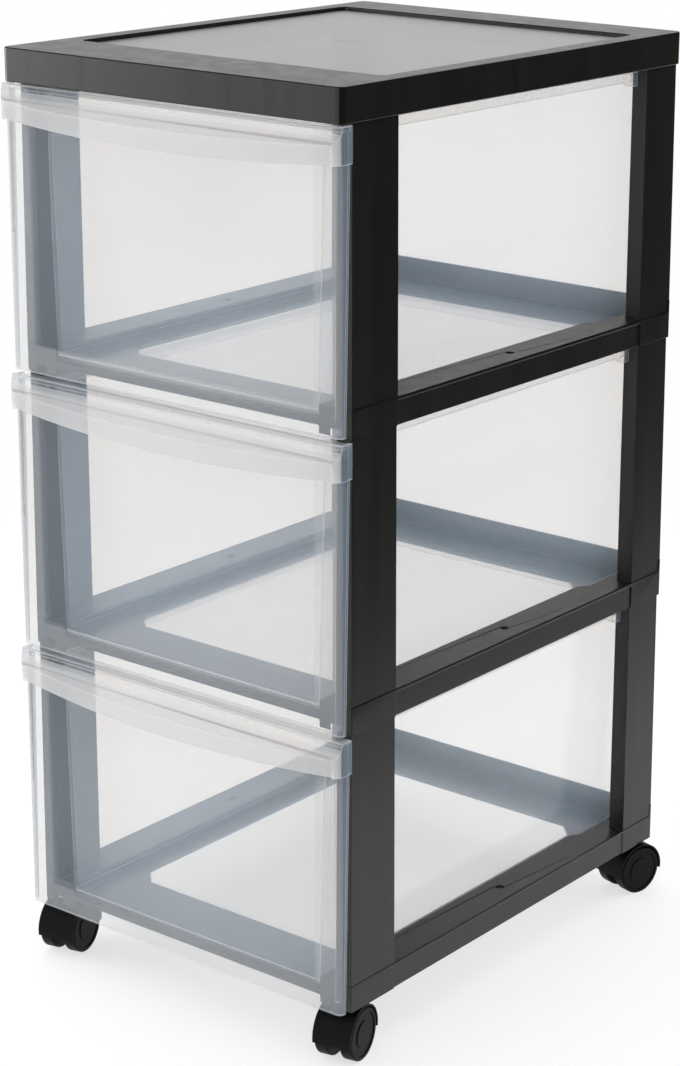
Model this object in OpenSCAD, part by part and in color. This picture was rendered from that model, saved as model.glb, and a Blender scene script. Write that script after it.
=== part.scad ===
// Drawer tower: three stacked frames with clear pull-out drawers, on twin-wheel casters.
// Millimetres. +X is right, -Y is the front that the drawers open to, +Z is up.
// The origin is on the floor, under the middle of the tower's overall box.

/* [Tower] */
// Width of the top frame
tower_w = 303.5; // [285:0.5:340]
// Depth of the top frame
tower_d = 398; // [380:1:430]
// Height of one drawer tier
tier_h = 208; // [170:1:240]
// Height of the top frame
top_h = 24; // [22:0.5:30]
// Corner radius of the top frame, seen from above
corner_r = 5; // [3:0.5:8]

/* [Frames] */
// Wall thickness of the frame mouldings
wall = 2.5; // [2:0.1:3]
// How far a tier's foot stands in from the top frame, on each side
foot_inset = 1.6; // [0.5:0.1:2]
// How much a tier narrows from its foot to its head, on each side
tier_taper = 1; // [0.5:0.1:1.5]
// How far the front posts stand back from the drawer fronts
front_setback = 13.5; // [11:0.5:14]
// Height of the side ledges above the tier's foot
ledge_z = 20; // [18:0.5:22]
// Height of the runners that carry the drawer, above the tier's foot
runner_z = 10; // [9:0.5:12]
// Width of a side ledge
ledge_w = 28.5; // [26:0.5:30]
// How much wider the drawer's bay is behind its flare
bay_flare = 6.5; // [4:0.5:8]
// Width of a runner, beside the window in the tier's floor
runner_w = 14.5; // [10:0.5:20]
// Depth of the rail under the drawer's front
front_rail = 54.5; // [45:0.5:65]
// Chamfer across the corners of the floor window
window_chamfer = 15; // [8:1:20]
// Height of the low rear wall
rear_wall_h = 29; // [24:1:40]
// Depth of a front post
front_post_d = 48.5; // [40:0.5:52]
// Depth of a back post
back_post_d = 40.5; // [38:0.5:42]
// Width of a post
post_w = 14; // [12.5:0.1:15]
// How much a front post narrows towards its back edge
post_lean = 4; // [0:0.5:5]
// Depth of the groove that sets the side rail back from the posts
side_groove = 0.8; // [0.4:0.1:1.2]
// Number of stiffening ribs under each ledge
rib_count = 4; // [2:2:8]
// Hole through each side ledge
ledge_hole_d = 6; // [4:0.5:8]

/* [Top] */
// Width of the rim at the front
rim_front = 61; // [50:0.5:65]
// Width of the rim at the back
rim_back = 43; // [38:0.5:50]
// Width of the rim at the sides
rim_side = 15; // [12:0.5:16]
// How far the inset panel lies below the rim
panel_drop = 3; // [2:0.5:5]
// Thickness of the inset panel
panel_t = 2.5; // [2:0.1:4]
// Width of the seat under the panel's edge
panel_seat = 6; // [4:0.5:10]

/* [Drawers] */
// Wall thickness of the clear mouldings
skin = 2; // [1.6:0.1:2.4]
// Gap from the drawer's floor to its runners
runner_gap = 0.3; // [0.3:0.1:0.5]
// Gap from the drawer's sides to the ledges
side_gap = 1.2; // [0.8:0.1:1.6]
// How much each side of the tub spreads from floor to rim
tub_spread = 5.9; // [4:0.1:6.5]
// How much the tub's back leans out from floor to rim
back_lean = 3; // [1:0.5:4]
// Radius along the tub's bottom edges
tub_r = 6; // [4:0.5:9]
// Radius of the tub's upright corners
tub_corner_r = 4; // [3:0.5:8]
// Gap from the drawer's rim to the frame above
rim_gap = 2.5; // [2:0.1:4]
// Gap from the rim's edge to the posts
post_gap = 1.5; // [1:0.1:2]
// Depth of the rim's turned-down edge
rim_drop = 8.5; // [6:0.5:10]
// Distance from the drawer front to the tub's own front wall
front_gap = 15; // [12.5:0.5:16]
// Gap above the drawer front
front_top_gap = 0.8; // [0.6:0.1:1.2]
// Gap below the drawer front
front_foot_gap = 3; // [2:0.5:4]
// How far the stop tabs stand out past the rim
stop_reach = 6.7; // [6:0.1:8]
// Depth of a stop tab
stop_d = 6.5; // [4:0.5:9]

/* [Pulls] */
// How far the pull stands out in the middle
pull_reach = 13.5; // [12:0.5:18]
// How much further the pull reaches in the middle than at its ends
pull_bow = 9.5; // [8:0.5:12]
// Radius of the hollow along the pull's top
scoop_r = 15; // [14:0.5:18]
// Depth of the pull in the middle
pull_h = 30.5; // [28:0.5:36]
// How much deeper the pull is in the middle than at its ends
pull_sag = 5.9; // [3:0.1:8]
// Lean of the pull's front face, in degrees
pull_lean = 12; // [6:1:15]
// How far the pull's ends stand past the drawer front
pull_side = 1.5; // [1:0.1:2]
// Radius of the pull's end corners
pull_r = 6; // [4:0.5:8]

/* [Casters] */
// Radius of the wheels
wheel_r = 19.5; // [18:0.5:20]
// Width over both wheels
caster_w = 30; // [28:0.5:34]
// Thickness of the hood's middle web
web_t = 9; // [8.5:0.1:10]
// Gap from the wheels to the hood
hood_gap = 0.8; // [0.6:0.1:1]
// Thickness of the hood over the wheels
hood_t = 1.5; // [1.2:0.1:2]
// How far the hood reaches below the axle, in degrees
hood_wrap = 8; // [0:1:12]
// Gap from the hood to the lowest frame
hood_top_gap = 0.7; // [0.5:0.1:1.5]
// Distance from the swivel axis back to the axle
trail = 6; // [5:0.5:7]
// Swivel axis to the tower's outer side
pivot_in_x = 15.5; // [13.5:0.5:16]
// Swivel axis to the tower's front or back
pivot_in_y = 19.5; // [17:0.5:20]
// Radius of the steel stem
stem_r = 3.2; // [3:0.1:3.4]
// Radius of the axle
axle_r = 2.5; // [2:0.1:3]
// Running clearance around the stem and the axle
running = 0.05; // [0.02:0.01:0.09]
// Resting turn of the front left caster, in degrees
turn_front_left = 14; // [10:1:30]
// Resting turn of the front right caster, in degrees
turn_front_right = 12; // [0:1:30]
// Resting turn of the back left caster, in degrees
turn_back_left = 6; // [0:1:30]

/* [Hidden] */
$fn = 72;
bow_fn = 720;   // segments of the pull's long arcs
over = 1;       // how far a cut runs past the face it opens
hair = 0.01;    // keeps two outlines from sharing one face

half_w = tower_w / 2;
half_d = tower_d / 2;

// Frames, measured from a tier's foot
foot_x = half_w - foot_inset;
foot_front = -(half_d - front_setback);
foot_back = half_d - foot_inset;
bay_x = foot_x - ledge_w;
window_x = bay_x - runner_w;
window_front = foot_front + front_rail;
window_back = foot_back - back_post_d;
front_post_back = foot_front + front_post_d;
front_post_in = foot_x - post_w;
back_post_step = 0.5;
back_post_in = front_post_in + back_post_step;
ledge_under = ledge_z - wall;
runner_under = runner_z - wall;
skirt_h = 2;
front_skirt_z = runner_under - skirt_h;
flare_before = 33;
flare_run = 8;
flare_start = window_back - flare_before;
flare_end = flare_start + flare_run;
rib_foot = 5;
rib_t = 2;
ledge_hole = [bay_x + 13, 11.5];

// Spigots on the post heads, and the sleeves that take them
spigot_x = (front_post_in + foot_x) / 2;
spigot_top_gap = 0.3;
spigot = [6, 10, ledge_under - spigot_top_gap];
spigot_fit = 0.2;
socket = [spigot[0] / 2 + spigot_fit, spigot[1] / 2 + spigot_fit];
sleeve_t = 2;
front_spigot_in = 15;
back_spigot_in = 8.5;
spigot_places = [front_post_back - front_spigot_in, window_back + back_spigot_in];

// Top, measured from the top frame's foot
panel_low = [-half_w + rim_side, -half_d + rim_front];
panel_high = [half_w - rim_side, half_d - rim_back];
panel_r = 6;
panel_fit = 0.3;
panel_z = top_h - panel_drop - panel_t;

// Drawers, measured from their tier's foot
tub_z = runner_z + runner_gap;
tub_foot_x = bay_x - side_gap;
tub_head_x = tub_foot_x + tub_spread;
rim_top = tier_h - rim_gap;
tub_front = -half_d + front_gap;
rim_back_gap = 3;
rim_overhang = 4;
rim_back_y = foot_back - rim_back_gap;
tub_head_back = rim_back_y - rim_overhang;
tub_foot_back = tub_head_back - back_lean;
rim_x = front_post_in - post_gap;
strip_gap = 1;
rim_front_back = foot_front - strip_gap;
front_foot = front_foot_gap;
front_head = tier_h - front_top_gap;
front_r = 5;
return_gap = 5;
return_lean = 4.3;
stop_gap = 0.3;
stop_hang = 2;
stop_back = window_back - stop_gap;

// Pulls: the bow is an arc through the middle and both ends
pull_end_x = half_w + pull_side;
pull_back = tub_front - return_gap;
bow_r = (pow(half_w, 2) + pow(pull_bow, 2)) / (2 * pull_bow);
sag_r = (pow(half_w, 2) + pow(pull_sag, 2)) / (2 * pull_sag);
pull_front = -half_d - pull_reach;
pull_edge_z = front_head - scoop_r;
pull_low = front_head - pull_h;
pull_corner_x = pull_end_x - pull_r;
pull_corner_lead = 0.6;
pull_corner_y = pull_front + pull_bow + pull_r - pull_corner_lead;

// Casters
hood_r = wheel_r + hood_gap + hood_t;
hood_top = wheel_r + hood_r;
caster_h = hood_top + hood_top_gap;
pivot_x = half_w - pivot_in_x;
pivot_y = half_d - pivot_in_y;
boss_r = 7;
boss_foot = rib_foot;
boss_z = caster_h + boss_foot;
collar_r = 6;
collar_t = 0.7;
collar_gap = 0.3;
neck_top = boss_z - collar_t - collar_gap;
neck_r = 6.8;
neck_gap = 0.6;
flare_r = 9.5;
flare_h = 2.5;
stem_over_axle = 5;
stem_foot = wheel_r + axle_r + stem_over_axle;
stem_skin = 0.7;
wheel_gap = 0.4;
wheel_w = (caster_w - web_t) / 2 - wheel_gap;
wheel_skin = 2;
wheel_round = 1.2;
dish_r = 10;
dish_rim = 3;
dish_depth = 0.6;
axle_end_gap = 0.3;
turn_back_right = -turn_front_left;

// The origin's place, front to back: half way between the pulls and the back right hood
hood_back = pivot_y + trail * cos(turn_back_right)
  + caster_w / 2 * abs(sin(turn_back_right)) + hood_r * cos(turn_back_right);
centre_y = (-pull_front - hood_back) / 2;

tier_z = [caster_h + 2 * tier_h, caster_h + tier_h, caster_h];
top_z = caster_h + 3 * tier_h;

black = [0.14, 0.14, 0.13];
clear = [0.82, 0.85, 0.87, 0.45];

// ---- shapes shared by the pieces ----

module both_sides() {
  children();
  mirror([1, 0, 0]) children();
}

// A box from its lowest to its highest corner
module span(low, high) {
  translate(low) cube(high - low);
}

module plan_rect(low, high) {
  translate(low) square(high - low);
}

module round_rect(low, high, r) {
  plan_rect([low[0] + r, low[1]], [high[0] - r, high[1]]);
  plan_rect([low[0], low[1] + r], [high[0], high[1] - r]);
  for (x = [low[0] + r, high[0] - r], y = [low[1] + r, high[1] - r])
    translate([x, y]) circle(r);
}

// Extrudes a Y-Z outline along X, and an X-Z outline along Y
module along_x(x0, x1) {
  translate([x0, 0, 0]) rotate([90, 0, 90]) linear_extrude(x1 - x0) children();
}

module along_y(y0, y1) {
  translate([0, y1, 0]) rotate([90, 0, 0]) linear_extrude(y1 - y0) children();
}

// ---- tier frame ----

// The bay that the tub slides in, seen from above, grown by g
module bay_plan(g) {
  back = foot_back - wall + g;
  wide = bay_x + bay_flare + g;
  for (s = [-1, 1])
    polygon([[0, foot_front - over], [s * (bay_x + g), foot_front - over],
      [s * (bay_x + g), flare_start], [s * wide, flare_end], [s * wide, back], [0, back]]);
}

module window_plan() {
  c = window_chamfer;
  polygon([[-window_x + c, window_front], [window_x - c, window_front],
    [window_x, window_front + c], [window_x, window_back - c],
    [window_x - c, window_back], [-window_x + c, window_back],
    [-window_x, window_back - c], [-window_x, window_front + c]]);
}

module foot_plan() {
  plan_rect([-foot_x, foot_front], [foot_x, foot_back]);
}

module ledges() {
  translate([0, 0, ledge_under]) linear_extrude(wall) difference() {
    foot_plan();
    bay_plan(0);
    both_sides() translate(ledge_hole) circle(d = ledge_hole_d);
  }
}

module runners() {
  translate([0, 0, runner_under]) linear_extrude(wall) difference() {
    intersection() {
      bay_plan(wall);
      foot_plan();
    }
    window_plan();
  }
  translate([0, 0, runner_under]) linear_extrude(ledge_z - runner_under) difference() {
    intersection() {
      bay_plan(wall);
      foot_plan();
    }
    bay_plan(0);
  }
  span([-bay_x - wall, foot_front, front_skirt_z], [bay_x + wall, foot_front + wall, runner_z]);
}

// A foot's outer wall, and the wall that closes the foot at the front
module foot_walls() {
  span([bay_x, foot_front, 0], [foot_x, foot_front + wall, ledge_z]);
  difference() {
    span([foot_x - wall, foot_front, 0], [foot_x, foot_back, ledge_z]);
    span([foot_x - side_groove, front_post_back, -over], [foot_x + over, window_back, ledge_z + over]);
  }
}

module ribs() {
  pitch = (window_back - front_post_back) / (rib_count + 1);
  for (i = [1 : rib_count])
    translate([0, front_post_back + i * pitch, 0])
      span([bay_x + wall, -rib_t / 2, rib_foot], [foot_x - wall, rib_t / 2, ledge_under]);
}

// A post's outline on each of the three planes, shrunk by g for the hollow inside
module post_shape(plan, y_low, y_high, z_low, z_high, front_draft, back_draft, g) {
  intersection() {
    translate([0, 0, z_low]) linear_extrude(z_high - z_low) polygon(plan);
    along_y(y_low - over, y_high + over)
      polygon([[0, z_low], [foot_x - g, z_low], [foot_x - tier_taper - g, tier_h],
        [0, tier_h]]);
    along_x(0, foot_x + over)
      polygon([[y_low, z_low], [y_high, z_low],
        [y_high - back_draft, tier_h], [y_low + front_draft, tier_h]]);
  }
}

module front_post() {
  y0 = foot_front;
  y1 = front_post_back;
  x0 = front_post_in;
  x1 = foot_x + over;
  difference() {
    post_shape([[x0, y0], [x1, y0], [x1, y1], [x0 + post_lean, y1]],
      y0, y1, runner_z, tier_h, tier_taper, 0, 0);
    post_shape([[x0 + wall, y0], [x1, y0], [x1, y1], [x0 + post_lean + wall, y1]],
      y0 + wall, y1 - wall, runner_z - over, tier_h - wall, tier_taper, 0, wall);
  }
}

module back_post() {
  y0 = window_back;
  y1 = foot_back;
  x0 = back_post_in;
  x1 = foot_x + over;
  difference() {
    post_shape([[x0, y0], [x1, y0], [x1, y1], [x0, y1]],
      y0, y1, ledge_under, tier_h, 0, tier_taper, 0);
    post_shape([[x0 + wall, y0], [x1, y0], [x1, y1], [x0 + wall, y1]],
      y0 + wall, y1 - wall, ledge_z, tier_h - wall, 0, tier_taper, wall);
  }
}

module spigot_at(y) {
  translate([spigot_x - spigot[0] / 2, y - spigot[1] / 2, tier_h - wall / 2])
    cube([spigot[0], spigot[1], spigot[2] + wall / 2]);
}

// A sleeve that stands on the post below, and the socket in it for that post's spigot
module sleeve_at(y, h) {
  outer = socket + [sleeve_t, sleeve_t];
  translate([spigot_x, y, 0]) linear_extrude(h) plan_rect(-outer, outer);
}

module socket_at(y) {
  translate([spigot_x, y, -over]) linear_extrude(ledge_under + over) plan_rect(-socket, socket);
}

module caster_boss(y) {
  translate([0, 0, boss_foot]) linear_extrude(ledge_under - boss_foot + wall / 2) intersection() {
    translate([pivot_x, y]) circle(boss_r);
    foot_plan();
  }
}

module stem_bore(y) {
  translate([pivot_x, y, boss_foot - over])
    cylinder(r = stem_r, h = ledge_z - stem_skin - boss_foot + over);
}

// Room for a caster's neck where it passes the foot's front wall
module neck_room(y) {
  translate([pivot_x, y, -over]) cylinder(r = neck_r + neck_gap, h = boss_foot + over);
}

module tier_frame() {
  difference() {
    union() {
      ledges();
      runners();
      both_sides() {
        foot_walls();
        ribs();
        front_post();
        back_post();
        for (y = spigot_places) {
          spigot_at(y);
          sleeve_at(y, ledge_under);
        }
        for (y = [-pivot_y, pivot_y]) caster_boss(y);
      }
      span([-foot_x, foot_back - wall, 0], [foot_x, foot_back, rear_wall_h]);
    }
    both_sides() {
      for (y = [-pivot_y, pivot_y]) {
        stem_bore(y);
        neck_room(y);
      }
      for (y = spigot_places) socket_at(y);
    }
  }
}

// ---- top ----

module top_frame() {
  w2 = [wall, wall];
  seat = [panel_seat, panel_seat];
  difference() {
    union() {
      difference() {
        linear_extrude(top_h) round_rect([-half_w, -half_d], [half_w, half_d], corner_r);
        translate([0, 0, -over]) linear_extrude(top_h - wall + over)
          round_rect([-half_w, -half_d] + w2, [half_w, half_d] - w2, corner_r - wall / 2);
      }
      translate([0, 0, panel_z - wall]) linear_extrude(top_h - panel_z + wall)
        round_rect(panel_low - w2, panel_high + w2, panel_r + wall);
      both_sides() for (y = spigot_places) sleeve_at(y, top_h - wall / 2);
    }
    translate([0, 0, panel_z]) linear_extrude(top_h) round_rect(panel_low, panel_high, panel_r);
    translate([0, 0, panel_z - wall - over]) linear_extrude(top_h)
      round_rect(panel_low + seat, panel_high - seat, panel_r);
    both_sides() for (y = spigot_places) socket_at(y);
  }
}

module top_panel() {
  fit = [panel_fit, panel_fit];
  translate([0, 0, panel_z]) linear_extrude(panel_t)
    round_rect(panel_low + fit, panel_high - fit, panel_r - panel_fit);
}

// ---- drawer ----

// Half outline of a tub wall: a flat floor, a rounded edge and a leaning wall
module tub_side(foot, head, h, r) {
  lean = atan((head - foot) / h);
  t = r / tan((90 + lean) / 2);
  polygon([[0, 0], [foot - t, 0], [foot + t * sin(lean), t * cos(lean)], [head, h], [0, h]]);
  intersection() {
    translate([foot - t, r]) circle(r);
    plan_rect([0, 0], [head, r]);
  }
}

// The tub as a solid, shrunk by g on its sides and floor, and open_h higher at its mouth
module tub_solid(g, open_h) {
  h = rim_top - tub_z;
  r = tub_r - g;
  mid_y = (tub_front + tub_foot_back) / 2;
  rise = h - g + open_h;
  grow = rise / h;
  translate([0, 0, tub_z + g]) intersection() {
    along_y(tub_front - over, tub_head_back + over + open_h) both_sides()
      tub_side(tub_foot_x - g, tub_foot_x - g + tub_spread * grow, rise, r);
    translate([0, mid_y, 0]) along_x(-half_w, half_w) {
      tub_side(tub_foot_back - g - mid_y, tub_foot_back - g - mid_y + back_lean * grow, rise, r);
      mirror([1, 0]) tub_side(mid_y - tub_front - g, mid_y - tub_front - g + hair, rise, r);
    }
    linear_extrude(rise)
      round_rect([-tub_head_x + g, tub_front + g - hair],
        [tub_head_x - g, tub_head_back - g], tub_corner_r - g);
  }
}

// The rim, with the wide strip that joins it to the drawer front
module rim() {
  z1 = rim_top - skin;
  z0 = rim_top - rim_drop;
  strip_x = half_w - skin;
  difference() {
    union() {
      span([-rim_x, tub_front, z0], [rim_x, rim_back_y, rim_top]);
      span([-rim_x, -half_d + skin / 2, z1], [rim_x, tub_front + over, rim_top]);
      span([-strip_x, -half_d + skin / 2, z1], [strip_x, rim_front_back, rim_top]);
    }
    span([-rim_x + skin, tub_front - over, z0 - over], [rim_x - skin, rim_back_y - skin, z1]);
  }
}

// Tabs that meet the back posts when shut and the front posts when open
module stop_tabs() {
  z0 = rim_top - rim_drop - stop_hang;
  both_sides() span([rim_x - skin, stop_back - stop_d, z0], [rim_x + stop_reach, stop_back, rim_top]);
}

module front_plan(g) {
  intersection() {
    round_rect([-half_w + g, -half_d + g], [half_w - g, half_d], front_r - g);
    plan_rect([-half_w, -half_d], [half_w, pull_back]);
  }
}

// The drawer front, with side returns whose back edges lean forwards to the foot
module drawer_front() {
  intersection() {
    translate([0, 0, front_foot]) linear_extrude(front_head - front_foot) difference() {
      front_plan(0);
      translate([0, over]) front_plan(skin);
      front_plan(skin);
    }
    along_x(-half_w, half_w)
      polygon([[-half_d, front_foot], [pull_back - return_lean, front_foot],
        [pull_back, front_head], [-half_d, front_head]]);
  }
}

// The pull as a solid, shrunk by g: a bowed and leaning face under a hollow top
module pull_solid(g) {
  z0 = pull_low - 2 * over;
  z1 = front_head;
  intersection() {
    union() {
      span([-pull_corner_x, pull_front - over, z0], [pull_corner_x, pull_back, z1]);
      both_sides() translate([0, 0, z0]) linear_extrude(z1 - z0) {
        translate([pull_corner_x, pull_corner_y]) circle(pull_r - g);
        plan_rect([pull_corner_x - pull_r, pull_corner_y], [pull_end_x - g, pull_back]);
      }
    }
    union() {
      translate([0, pull_front, pull_edge_z]) rotate([pull_lean, 0, 0])
        translate([0, bow_r, -pull_h])
          cylinder(r = bow_r - g, h = 2 * pull_h, $fn = bow_fn);
      both_sides() span([pull_corner_x, pull_front, z0], [pull_end_x, pull_back, z1]);
    }
    if (g == 0)
      translate([0, pull_back, pull_low + sag_r]) rotate([90, 0, 0])
        cylinder(r = sag_r, h = pull_back - pull_front + over, $fn = bow_fn);
  }
}

module scoop(g) {
  translate([-pull_end_x - over, -half_d - scoop_r, front_head]) rotate([0, 90, 0])
    cylinder(r = scoop_r + g, h = 2 * (pull_end_x + over));
}

module pull() {
  z0 = pull_low - 3 * over;
  h = pull_h + 6 * over;
  difference() {
    pull_solid(0);
    scoop(0);
    difference() {
      pull_solid(skin);
      scoop(skin);
      translate([0, 0, z0]) linear_extrude(h)
        plan_rect([-half_w, -half_d], [half_w, half_d]);
    }
    translate([0, 0, z0]) linear_extrude(h) {
      translate([0, over]) front_plan(skin);
      front_plan(skin);
    }
  }
}

module drawer() {
  difference() {
    union() {
      tub_solid(0, 0);
      rim();
    }
    tub_solid(skin, skin + over);
  }
  stop_tabs();
  drawer_front();
  pull();
}

// ---- casters, each built with its swivel axis on Z and its axle along X ----

module hood() {
  difference() {
    union() {
      intersection() {
        translate([-caster_w / 2, trail, wheel_r]) rotate([0, 90, 0]) difference() {
          cylinder(r = hood_r, h = caster_w);
          for (x = [-over, (caster_w + web_t) / 2])
            translate([0, 0, x]) cylinder(r = wheel_r + hood_gap, h = (caster_w - web_t) / 2 + over);
        }
        hood_reach();
      }
      translate([0, 0, hood_top - flare_h]) cylinder(r1 = flare_r, r2 = neck_r, h = flare_h);
      translate([0, 0, hood_top - over]) cylinder(r = neck_r, h = neck_top - hood_top + over);
    }
    translate([0, 0, stem_foot - running]) cylinder(r = stem_r + running, h = boss_z);
    translate([-caster_w / 2 - over, trail, wheel_r]) rotate([0, 90, 0]) {
      cylinder(r = axle_r, h = caster_w + 2 * over);
      for (x = [0, (caster_w + web_t) / 2 + over])
        translate([0, 0, x]) cylinder(r = wheel_r + hood_gap, h = (caster_w - web_t) / 2 + over);
    }
  }
}

// The half of the caster's disc that the hood covers, down to a little below the axle
module hood_reach() {
  far = 2 * hood_r;
  drop = far * tan(hood_wrap);
  translate([0, trail, wheel_r]) along_x(-caster_w, caster_w)
    polygon([[-far, far], [-far, -drop], [0, 0], [far, -drop], [far, far]]);
}

module axle() {
  reach = web_t / 2 + wheel_gap + wheel_w - wheel_skin - axle_end_gap;
  translate([-reach, trail, wheel_r]) rotate([0, 90, 0]) cylinder(r = axle_r, h = 2 * reach);
}

// A wheel with rounded tread edges, a dished outer face and a blind bore
module wheel() {
  r = wheel_r;
  c = wheel_round;
  translate([web_t / 2 + wheel_gap, trail, wheel_r]) rotate([0, 90, 0]) rotate_extrude() difference() {
    union() {
      plan_rect([0, 0], [r - c, wheel_w]);
      plan_rect([r - c, c], [r, wheel_w - c]);
      for (z = [c, wheel_w - c]) translate([r - c, z]) circle(c);
    }
    plan_rect([dish_r, wheel_w - dish_depth], [r - dish_rim, wheel_w + over]);
    plan_rect([-over, -over], [axle_r + running, wheel_w - wheel_skin]);
  }
}

module stem() {
  top = caster_h + ledge_z - stem_skin;
  translate([0, 0, stem_foot]) cylinder(r = stem_r, h = top - stem_foot);
  translate([0, 0, boss_z - collar_t]) cylinder(r = collar_r, h = collar_t);
}

module place_caster(x, y, turn) {
  translate([x, y, 0]) rotate([0, 0, turn]) children();
}

module at_front_left() { place_caster(-pivot_x, -pivot_y, turn_front_left) children(); }
module at_front_right() { place_caster(pivot_x, -pivot_y, turn_front_right) children(); }
module at_back_left() { place_caster(-pivot_x, pivot_y, turn_back_left) children(); }
module at_back_right() { place_caster(pivot_x, pivot_y, turn_back_right) children(); }

module caster_stem() { color("silver") stem(); }
module caster_hood() { color([0.08, 0.08, 0.08]) hood(); }
module caster_axle() { color("silver") axle(); }
module right_wheel() { color([0.1, 0.1, 0.1]) wheel(); }
module left_wheel() { color([0.1, 0.1, 0.1]) translate([0, 2 * trail, 0]) rotate([0, 0, 180]) wheel(); }

module at_tier(i) {
  translate([0, 0, tier_z[i]]) children();
}

// ---- nodes ----

module part() {
  translate([0, centre_y, 0]) children();
}

part() translate([0, 0, top_z]) color(black) top_frame();
part() translate([0, 0, top_z]) color("lightgray") top_panel();
part() at_tier(0) color(black) tier_frame();  // upper_frame
part() at_tier(1) color(black) tier_frame();  // middle_frame
part() at_tier(2) color(black) tier_frame();  // lower_frame
part() at_tier(0) color(clear) drawer();  // upper_drawer
part() at_tier(1) color(clear) drawer();  // middle_drawer
part() at_tier(2) color(clear) drawer();  // lower_drawer
part() at_front_left() caster_stem();  // front_left_stem
part() at_front_left() caster_hood();  // front_left_hood
part() at_front_left() caster_axle();  // front_left_axle
part() at_front_left() left_wheel();  // front_left_outer_wheel
part() at_front_left() right_wheel();  // front_left_inner_wheel
part() at_front_right() caster_stem();  // front_right_stem
part() at_front_right() caster_hood();  // front_right_hood
part() at_front_right() caster_axle();  // front_right_axle
part() at_front_right() left_wheel();  // front_right_inner_wheel
part() at_front_right() right_wheel();  // front_right_outer_wheel
part() at_back_left() caster_stem();  // back_left_stem
part() at_back_left() caster_hood();  // back_left_hood
part() at_back_left() caster_axle();  // back_left_axle
part() at_back_left() left_wheel();  // back_left_outer_wheel
part() at_back_left() right_wheel();  // back_left_inner_wheel
part() at_back_right() caster_stem();  // back_right_stem
part() at_back_right() caster_hood();  // back_right_hood
part() at_back_right() caster_axle();  // back_right_axle
part() at_back_right() left_wheel();  // back_right_inner_wheel
part() at_back_right() right_wheel();  // back_right_outer_wheel
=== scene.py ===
"""The looks of a plastic drawer tower: black open frames, clear drawers, a frosted top and casters."""

import math

import bpy
from mathutils import Matrix, Vector


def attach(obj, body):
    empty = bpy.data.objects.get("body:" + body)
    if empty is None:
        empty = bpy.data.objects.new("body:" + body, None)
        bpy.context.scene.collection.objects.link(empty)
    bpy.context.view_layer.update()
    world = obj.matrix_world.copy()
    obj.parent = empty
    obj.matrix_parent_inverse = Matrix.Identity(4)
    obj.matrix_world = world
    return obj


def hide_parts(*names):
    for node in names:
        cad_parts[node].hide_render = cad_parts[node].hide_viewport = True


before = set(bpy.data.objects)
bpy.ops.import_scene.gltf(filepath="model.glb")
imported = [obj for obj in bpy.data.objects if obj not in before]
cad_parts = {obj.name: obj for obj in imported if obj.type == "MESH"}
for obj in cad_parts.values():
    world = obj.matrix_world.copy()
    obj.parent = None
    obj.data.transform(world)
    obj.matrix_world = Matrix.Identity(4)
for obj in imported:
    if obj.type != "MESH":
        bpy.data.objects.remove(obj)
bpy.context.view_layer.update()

MM = 0.001
TIERS = ("upper", "middle", "lower")

# Places on the drawer fronts, in metres: what lies ahead of PULL_BACK_Y is the pull, and what lies
# ahead of FRONT_Y is the front. Its ends and its foot are milkier bands.
PULL_BACK_Y, FRONT_Y = -0.1985, -0.186
END_BAND_X, LOW_BAND_H, RETURN_X = 0.128, 0.02, 0.149
DRAWER_SLIVER_MM = 0.1
FROSTED_SLOT, EDGE_SLOT, MILKY_SLOT, RETURN_SLOT = 1, 2, 3, 4
BLACK_EDGE_SLOT, SLANT = 1, 0.15
SQUARE_ON = 0.9

# Rounds of the moulded edges, in millimetres.
TOP_ROUND_MM, FRAME_ROUND_MM, CLEAR_ROUND_MM = 0.9, 0.5, 0.4

# Marks that the moulds leave: centre in metres, radii in millimetres.
GATE_MARK, GATE_RADII_MM = (-0.0119, 0.0119, 0.687), (13.0, 10.0)
PILL_MARK, PILL_RADII_MM, PILL_TURN = (-0.1387, -0.1681, 0.69), (6.0, 2.2), math.radians(43)
MARK_DEPTH_MM = 100

# Floor and studio light.
FLOOR_R, FLOOR_GLOW = 1.3, 0.6
BRIGHT_SIDE = (-0.8, 0.5, 0.35)
WORLD_DIM, WORLD_BRIGHT = 0.9, 1.7


# ---- colours and nodes ----

def linear(colour):
    """A hex sRGB colour as linear red, green, blue and alpha."""
    values = [int(colour[i:i + 2], 16) / 255 for i in (1, 3, 5)]
    return [v / 12.92 if v <= 0.04045 else ((v + 0.055) / 1.055) ** 2.4 for v in values] + [1.0]


def add_node(tree, kind, inputs=None, **settings):
    """Adds a node with its settings, and sets or links its inputs by name or number."""
    node = tree.nodes.new("ShaderNode" + kind)
    for name, value in settings.items():
        setattr(node, name, value)
    for key, value in (inputs or {}).items():
        if isinstance(value, bpy.types.NodeSocket):
            tree.links.new(value, node.inputs[key])
        else:
            node.inputs[key].default_value = value
    return node


def new_material(name):
    material = bpy.data.materials.new(name)
    material.use_nodes = True
    material.node_tree.nodes.clear()
    return material, material.node_tree


def finish_material(material, tree, surface):
    add_node(tree, "OutputMaterial", {"Surface": surface})
    return material


def object_noise(tree, size_mm, stretch=(1, 1, 1), detail=2.0, roughness=0.5):
    """Noise whose features are size_mm across, longer along the axes with a larger stretch."""
    place = add_node(tree, "TexCoord").outputs["Object"]
    scale = [1 / (size_mm * MM * s) for s in stretch]
    mapping = add_node(tree, "Mapping", {"Vector": place, "Scale": scale})
    settings = {"Vector": mapping.outputs["Vector"], "Scale": 1.0, "Detail": detail, "Roughness": roughness}
    return add_node(tree, "TexNoise", settings).outputs["Fac"]


def between(tree, value, low, high):
    """Maps a 0 to 1 value to the range from low to high."""
    return add_node(tree, "MapRange", {"Value": value, "To Min": low, "To Max": high}).outputs["Result"]


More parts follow.
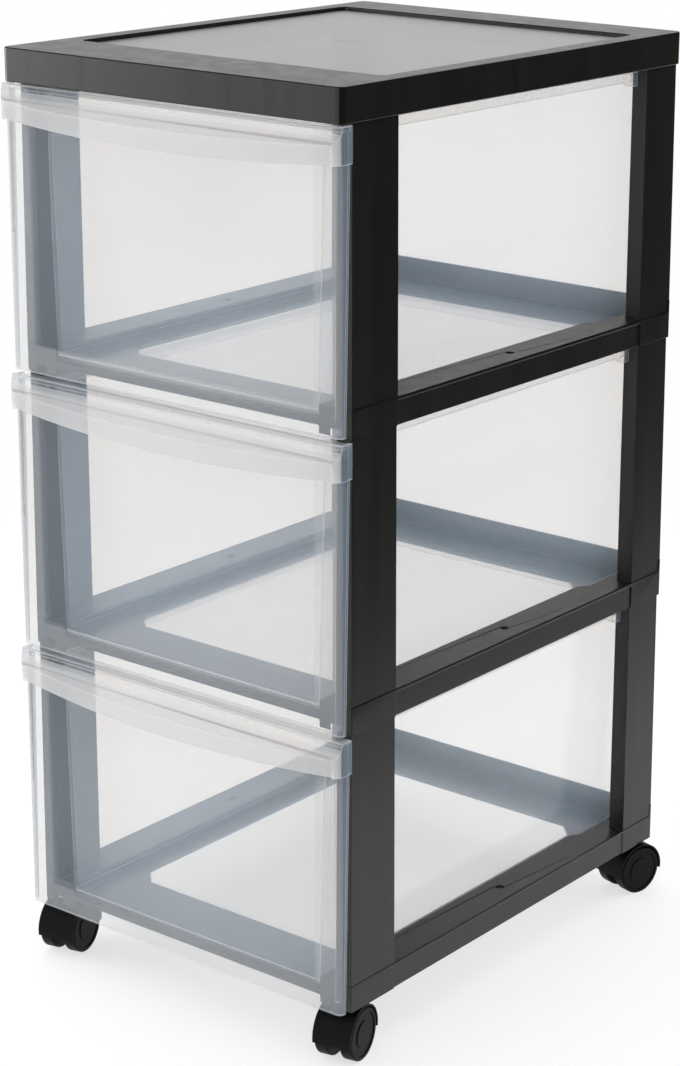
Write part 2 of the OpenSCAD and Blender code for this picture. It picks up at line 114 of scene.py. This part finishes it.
def mixed(tree, factor, first, second):
    """Mixes two hex colours by a 0 to 1 factor."""
    inputs = {"Factor": factor, 6: linear(first), 7: linear(second)}
    return add_node(tree, "Mix", inputs, data_type="RGBA").outputs[2]


def bump(tree, height, depth_mm, strength=1.0):
    inputs = {"Height": height, "Distance": depth_mm * MM, "Strength": strength}
    return add_node(tree, "Bump", inputs).outputs["Normal"]


def mark(tree, centre, radii_mm, turn=0.0):
    """One inside a soft-edged oval lying flat at the centre, and zero outside."""
    place = add_node(tree, "TexCoord").outputs["Object"]
    oval = add_node(tree, "Mapping", {
        "Vector": place, "Location": centre, "Rotation": (0, 0, turn),
        "Scale": [r * MM for r in (*radii_mm, MARK_DEPTH_MM)],
    }, vector_type="TEXTURE")
    reach = add_node(tree, "VectorMath", {0: oval.outputs["Vector"]}, operation="LENGTH").outputs["Value"]
    return add_node(tree, "MapRange", {"Value": reach, "From Min": 0.75, "From Max": 1.1, "To Min": 1.0,
                                       "To Max": 0.0}, interpolation_type="SMOOTHSTEP").outputs["Result"]


# ---- materials ----

def black_polypropylene():
    """Moulded black polypropylene: satin, with a fine spark-eroded grain, upright flow lines and a mark.

    The grain keeps its shine soft, and the flow lines vary it along the posts.
    """
    material, tree = new_material("black_polypropylene")
    flow = object_noise(tree, 22, stretch=(0.5, 0.5, 12), detail=1.0)
    grain = object_noise(tree, 1.6, detail=2.0)
    pill = mark(tree, PILL_MARK, PILL_RADII_MM, PILL_TURN)
    base = mixed(tree, flow, "#10100f", "#1a1a18")
    surface = add_node(tree, "BsdfPrincipled", {
        "Base Color": add_node(tree, "Mix", {"Factor": pill, 6: base, 7: linear("#0a0a09")},
                               data_type="RGBA").outputs[2],
        "Roughness": between(tree, flow, 0.29, 0.43),
        "IOR": 1.49,
        "Specular IOR Level": between(tree, pill, 0.5, 0.25),
        "Normal": add_node(tree, "Bump", {"Height": flow, "Distance": 0.2 * MM, "Strength": 0.5,
                                          "Normal": bump(tree, grain, 0.012, 0.3)}).outputs["Normal"],
    })
    return finish_material(material, tree, surface.outputs["BSDF"])


def polished_black():
    """The same black plastic where the mould was polished: smoother, so the edges catch a thin line."""
    material, tree = new_material("polished_black_edges")
    scuffs = object_noise(tree, 9, detail=2.0)
    surface = add_node(tree, "BsdfPrincipled", {
        "Base Color": mixed(tree, scuffs, "#10100f", "#161615"),
        "Roughness": between(tree, scuffs, 0.10, 0.18),
        "IOR": 1.49,
        "Normal": bump(tree, scuffs, 0.01, 0.2),
    })
    return finish_material(material, tree, surface.outputs["BSDF"])


def clear_plastic(name, milk, tint, haze, grazing_haze, gloss_roughness, mirror_top=0.5):
    """Clear moulded plastic: light passes straight through, a share scatters as milk, and both sides gloss.

    A shallow round dimple at the gate mark bends its gloss, which only the inset panel reaches.
    """
    material, tree = new_material(name)
    facing = add_node(tree, "LayerWeight", {"Blend": 0.5}).outputs["Facing"]
    schlick = add_node(tree, "Math", {0: facing, 1: 5.0}, operation="POWER").outputs[0]
    mirror = between(tree, schlick, 0.02, mirror_top)
    edge = add_node(tree, "Math", {0: facing, 1: 3.0}, operation="POWER").outputs[0]
    streaks = object_noise(tree, 60, stretch=(1, 1, 3), detail=1.5)
    gate = mark(tree, GATE_MARK, GATE_RADII_MM)
    normal = bump(tree, gate, 1.0, 1.0)
    share = add_node(tree, "Math", {0: between(tree, edge, haze, grazing_haze),
                                    1: between(tree, streaks, 0.88, 1.12)}, operation="MULTIPLY").outputs[0]
    through = add_node(tree, "BsdfTransparent", {"Color": linear(tint)}).outputs[0]
    front = add_node(tree, "BsdfDiffuse", {"Color": linear(milk), "Normal": normal}).outputs[0]
    back = add_node(tree, "BsdfTranslucent", {"Color": linear(milk)}).outputs[0]
    body = add_node(tree, "MixShader", {0: 0.5, 1: front, 2: back}).outputs[0]
    hazy = add_node(tree, "MixShader", {0: share, 1: through, 2: body}).outputs[0]
    gloss = add_node(tree, "BsdfGlossy", {"Color": linear("#ffffff"), "Roughness": gloss_roughness,
                                          "Normal": normal}).outputs[0]
    surface = add_node(tree, "MixShader", {0: mirror, 1: hazy, 2: gloss}).outputs[0]
    return finish_material(material, tree, surface)


def black_nylon(name, roughness):
    """Dull moulded black nylon, a little smoother where it rolls, so the casters stay near black."""
    material, tree = new_material(name)
    scuffs = object_noise(tree, 3, stretch=(1, 1, 1), detail=4.0, roughness=0.7)
    surface = add_node(tree, "BsdfPrincipled", {
        "Base Color": mixed(tree, scuffs, "#050506", "#0b0b0d"),
        "Roughness": between(tree, scuffs, roughness - 0.06, roughness + 0.08),
        "IOR": 1.53,
        "Specular IOR Level": 0.1,
        "Normal": bump(tree, object_noise(tree, 0.7), 0.02, 0.3),
    })
    return finish_material(material, tree, surface.outputs["BSDF"])


def zinc_plated_steel():
    """Turned steel rod with bright zinc plating: fine rings across its length."""
    material, tree = new_material("zinc_plated_steel")
    rings = object_noise(tree, 0.6, stretch=(8, 8, 1), detail=1.0)
    surface = add_node(tree, "BsdfPrincipled", {
        "Base Color": mixed(tree, rings, "#a9acb0", "#c6c8ca"),
        "Metallic": 1.0,
        "Roughness": between(tree, rings, 0.24, 0.38),
        "Normal": bump(tree, rings, 0.02, 0.3),
    })
    return finish_material(material, tree, surface.outputs["BSDF"])


BLACK = black_polypropylene()
BLACK_EDGE = polished_black()
# One clear plastic in six finishes: polished walls, frosted pull, whiter edges that are painted highlight
# lines, milkier flanges where two walls lie behind each other, returns whose darker grey-blue milk is painted
# shade, and a greyer frosted panel.
CLEAR = clear_plastic("clear_polypropylene", "#d4eaff", "#fffdfb", 0.086, 0.3, 0.15)
FROSTED = clear_plastic("frosted_pull", "#edeef0", "#fffdfb", 0.42, 0.7, 0.42)
# A near-white milk on the drawers' edges and rounds: painted highlight lines.
EDGE = clear_plastic("painted_edge_highlights", "#f4f6f8", "#fffdfb", 0.5, 0.8, 0.15)
MILKY = clear_plastic("milky_flanges", "#dae4ee", "#fffdfb", 0.2, 0.45, 0.3)
# Darker grey-blue milk on the returns: painted shade over the plastic's bluish milk.
RETURN = clear_plastic("returns_painted_shade", "#8496a6", "#fffdfb", 0.42, 0.55, 0.2)
PANEL = clear_plastic("frosted_panel", "#8b8e92", "#fffdf8", 0.6, 0.9, 0.3, mirror_top=0.6)
HOOD = black_nylon("hood_nylon", 0.48)
TREAD = black_nylon("wheel_nylon", 0.45)
STEEL = zinc_plated_steel()


# ---- mesh work ----

def select_only(piece):
    bpy.ops.object.select_all(action="DESELECT")
    piece.select_set(True)
    bpy.context.view_layer.objects.active = piece


def apply_modifier(piece, kind, **settings):
    select_only(piece)
    modifier = piece.modifiers.new(kind.lower(), kind)
    for name, value in settings.items():
        setattr(modifier, name, value)
    bpy.ops.object.modifier_apply(modifier=modifier.name)


def merged_copy(node, name, sliver_mm=0.0):
    """A copy of a CAD node, merged to one closed mesh.

    Edges shorter than sliver_mm are dissolved, because a bevel throws its corners out along them.
    """
    piece = bpy.data.objects.new(name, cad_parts[node].data.copy())
    bpy.context.collection.objects.link(piece)
    select_only(piece)
    bpy.ops.object.mode_set(mode="EDIT")
    bpy.ops.mesh.select_all(action="SELECT")
    bpy.ops.mesh.remove_doubles(threshold=0.01 * MM)
    if sliver_mm:
        bpy.ops.mesh.dissolve_degenerate(threshold=sliver_mm * MM)
    bpy.ops.object.mode_set(mode="OBJECT")
    bpy.ops.mesh.customdata_custom_splitnormals_clear()
    return piece


def rounded(piece, width_mm, segments=2, angle=35, edge_slot=-1):
    """Rounds the sharp edges, as a mould does; the rounds take the material in edge_slot."""
    apply_modifier(piece, "BEVEL", width=width_mm * MM, segments=segments, limit_method="ANGLE",
                   angle_limit=math.radians(angle), use_clamp_overlap=False, miter_outer="MITER_ARC",
                   material=edge_slot)
    bpy.ops.object.shade_smooth()
    apply_modifier(piece, "WEIGHTED_NORMAL", mode="FACE_AREA", weight=100, keep_sharp=False)


def dress(piece, node, body, slot, *materials):
    piece.data.materials.clear()
    for material in materials:
        piece.data.materials.append(material)
    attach(piece, body)
    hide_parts(node)
    return piece


# ---- pieces ----

def frame_moulding(node, name, round_mm):
    """A black frame, whose upright slanted faces and rounded edges are the mould's polished ones."""
    piece = merged_copy(node, name)
    dress(piece, node, "frame", "frame_plastic", BLACK, BLACK_EDGE)
    for face in piece.data.polygons:
        if min(abs(face.normal.x), abs(face.normal.y)) > SLANT:
            face.material_index = BLACK_EDGE_SLOT
    rounded(piece, round_mm, edge_slot=BLACK_EDGE_SLOT)


def split_front(piece):
    """Cuts the drawer front along its end bands and its foot band, and gives the foot band's height."""
    band_z = min(v.co.z for v in piece.data.vertices) + LOW_BAND_H
    sideways, upwards = (1, 0, 0), (0, 0, 1)
    cuts = ((-END_BAND_X, 0, 0), sideways), ((END_BAND_X, 0, 0), sideways), ((0, 0, band_z), upwards)
    for place, normal in cuts:
        for face in piece.data.polygons:
            face.select = abs(face.normal.y) > SQUARE_ON and PULL_BACK_Y < face.center.y < FRONT_Y
        bpy.ops.object.mode_set(mode="EDIT")
        bpy.ops.mesh.bisect(plane_co=place, plane_no=normal)
        bpy.ops.object.mode_set(mode="OBJECT")
    return band_z


def drawer_moulding(tier):
    """The clear drawer: a frosted pull, milky flanges at the front, returns darkened with painted shade, and
    edges whitened with painted highlight lines.
    """
    node = f"{tier}_drawer"
    piece = merged_copy(node, f"{tier}_drawer_moulding", DRAWER_SLIVER_MM)
    dress(piece, node, node, "drawer_plastic", CLEAR, FROSTED, EDGE, MILKY, RETURN)
    band_z = split_front(piece)
    for face in piece.data.polygons:
        normal, centre = face.normal, face.center
        at_front = centre.y < FRONT_Y
        in_band = abs(normal.z) > SQUARE_ON or abs(centre.x) > END_BAND_X or centre.z < band_z
        if centre.y < PULL_BACK_Y:
            face.material_index = FROSTED_SLOT
        # Strips of the pull's curve that face down and forward take the whiter edge material: painted
        # highlight lines.
        elif normal.y < 0 and (-0.35 < normal.z < -0.05 or -0.995 < normal.z < -0.9):
            face.material_index = EDGE_SLOT
        # The returns take the darker grey-blue milk: painted shade.
        elif at_front and abs(normal.x) > SQUARE_ON and abs(centre.x) > RETURN_X:
            face.material_index = RETURN_SLOT
        elif at_front and in_band:
            face.material_index = MILKY_SLOT
    # The rounds, the crease under the pull among them, take the whiter edge material as painted highlight
    # lines.
    rounded(piece, CLEAR_ROUND_MM, angle=24, edge_slot=EDGE_SLOT)


frame_moulding("top_frame", "top_frame_moulding", TOP_ROUND_MM)
for tier in TIERS:
    frame_moulding(f"{tier}_frame", f"{tier}_frame_moulding", FRAME_ROUND_MM)
    drawer_moulding(tier)
panel = merged_copy("top_panel", "top_panel_sheet")
rounded(panel, CLEAR_ROUND_MM)
dress(panel, "top_panel", "frame", "panel_plastic", PANEL)
for name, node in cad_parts.items():
    for words, material in (("hood", HOOD), ("wheel", TREAD), ("stem", STEEL), ("axle", STEEL)):
        if words in name:
            node.data.materials.clear()
            node.data.materials.append(material)


# ---- floor, lights and camera ----

def background_rays(tree):
    """One where the camera, a reflection or a transmitted ray looks, and zero for the light itself."""
    path = add_node(tree, "LightPath").outputs
    seen = add_node(tree, "Math", {0: path["Is Camera Ray"], 1: path["Is Glossy Ray"]}, operation="MAXIMUM")
    return add_node(tree, "Math", {0: seen.outputs[0], 1: path["Is Transmission Ray"]},
                    operation="MAXIMUM").outputs[0]


def studio_floor():
    """White floor that holds the shadow near the object and fades into the white backdrop."""
    bpy.ops.object.select_all(action="DESELECT")
    bpy.ops.mesh.primitive_circle_add(vertices=96, radius=FLOOR_R, fill_type="NGON")
    floor = bpy.context.object
    floor.name = "studio_floor"
    material, tree = new_material("matt_white_floor")
    place = add_node(tree, "TexCoord").outputs["Object"]
    reach = add_node(tree, "VectorMath", {0: place}, operation="LENGTH").outputs["Value"]
    fade = add_node(tree, "MapRange", {"Value": reach, "From Min": 0.1, "From Max": 0.9 * FLOOR_R,
                                       "To Min": FLOOR_GLOW, "To Max": 1.0}).outputs["Result"]
    paint = add_node(tree, "BsdfDiffuse", {"Color": linear("#f6f6f6")}).outputs[0]
    glow = add_node(tree, "Emission", {"Color": linear("#ffffff"), "Strength": 1.0}).outputs[0]
    share = add_node(tree, "Math", {0: fade, 1: background_rays(tree)}, operation="MULTIPLY").outputs[0]
    both = add_node(tree, "MixShader", {0: share, 1: paint, 2: glow}).outputs[0]
    floor.data.materials.append(finish_material(material, tree, both))


def black_flag(name, place, size, turn):
    """A matt black panel that only reflections see, so the glossy faces on that side stay dark."""
    bpy.ops.object.select_all(action="DESELECT")
    bpy.ops.mesh.primitive_plane_add(size=1.0, location=place, rotation=turn)
    flag = bpy.context.object
    flag.name = name
    flag.scale = (*size, 1)
    flag.visible_camera = flag.visible_diffuse = flag.visible_transmission = flag.visible_shadow = False
    material, tree = new_material(name + "_cloth")
    cloth = add_node(tree, "BsdfDiffuse", {"Color": linear("#1c1c1c")}).outputs[0]
    flag.data.materials.append(finish_material(material, tree, cloth))


def studio_world():
    """White wherever it is looked at; as a light it is bright at the back left and dim at the front right."""
    world = bpy.data.worlds.new("studio")
    bpy.context.scene.world = world
    world.use_nodes = True
    tree = world.node_tree
    tree.nodes.clear()
    direction = add_node(tree, "TexCoord").outputs["Generated"]
    back = add_node(tree, "VectorMath", {0: direction, 1: Vector(BRIGHT_SIDE).normalized()},
                    operation="DOT_PRODUCT").outputs["Value"]
    level = add_node(tree, "MapRange", {"Value": back, "From Min": -0.7, "From Max": 0.9,
                                        "To Min": WORLD_DIM, "To Max": WORLD_BRIGHT}).outputs["Result"]
    strength = add_node(tree, "Mix", {"Factor": background_rays(tree), 2: level, 3: 1.0},
                        data_type="FLOAT").outputs[0]
    white = add_node(tree, "Background", {"Color": linear("#ffffff"), "Strength": strength})
    add_node(tree, "OutputWorld", {"Surface": white.outputs[0]})


def scrim(name, place, target, size, levels):
    """A lit cloth that fades from its left side to its right, as seen from the object."""
    bpy.ops.object.select_all(action="DESELECT")
    turn = (Vector(target) - Vector(place)).to_track_quat("Z", "Y").to_euler()
    bpy.ops.mesh.primitive_plane_add(size=1.0, location=place, rotation=turn)
    cloth = bpy.context.object
    cloth.name = name
    cloth.scale = (*size, 1)
    cloth.visible_camera = False
    material, tree = new_material(name + "_cloth")
    across = add_node(tree, "SeparateXYZ", {0: add_node(tree, "TexCoord").outputs["Object"]}).outputs["X"]
    fade = add_node(tree, "MapRange", {"Value": across, "From Min": -0.5, "From Max": 0.5,
                                       "To Min": levels[0], "To Max": levels[1]},
                    interpolation_type="SMOOTHSTEP").outputs["Result"]
    glow = add_node(tree, "Emission", {"Color": linear("#ffffff"), "Strength": fade}).outputs[0]
    cloth.data.materials.append(finish_material(material, tree, glow))


def camera():
    lens_mm, long_side = 89.03, 36.0
    azimuth, elevation, roll = (math.radians(a) for a in (37.1058, 16.7495, 0.6601))
    data = bpy.data.cameras.new("camera")
    data.lens, data.sensor_width = lens_mm, long_side
    data.shift_x, data.shift_y = -0.0947, -0.0348
    eye = bpy.data.objects.new("camera", data)
    bpy.context.collection.objects.link(eye)
    eye.location = (1.19893, -1.47376, 0.92084)
    look = Vector((-math.sin(azimuth) * math.cos(elevation), math.cos(azimuth) * math.cos(elevation),
                   -math.sin(elevation)))
    turn = look.to_track_quat("-Z", "Y").to_matrix().to_4x4()
    eye.rotation_euler = (turn @ Matrix.Rotation(roll, 4, "Z")).to_euler()
    bpy.context.scene.camera = eye


studio_floor()
studio_world()
black_flag("right_flag", (0.55, 0.8, 0.75), (1.5, 3.6), (0, math.radians(90), 0))
black_flag("ceiling_flag", (-0.9, -0.3, 1.9), (2.6, 2.4), (0, 0, 0))
scrim("front_left_scrim", (-1.42, -1.08, 0.6), (-0.25, -0.2, 0.5), (1.1, 0.75), (0.0, 9.5))
camera()

scene = bpy.context.scene
scene.view_settings.view_transform = "Standard"
scene.cycles.transparent_max_bounces = 32
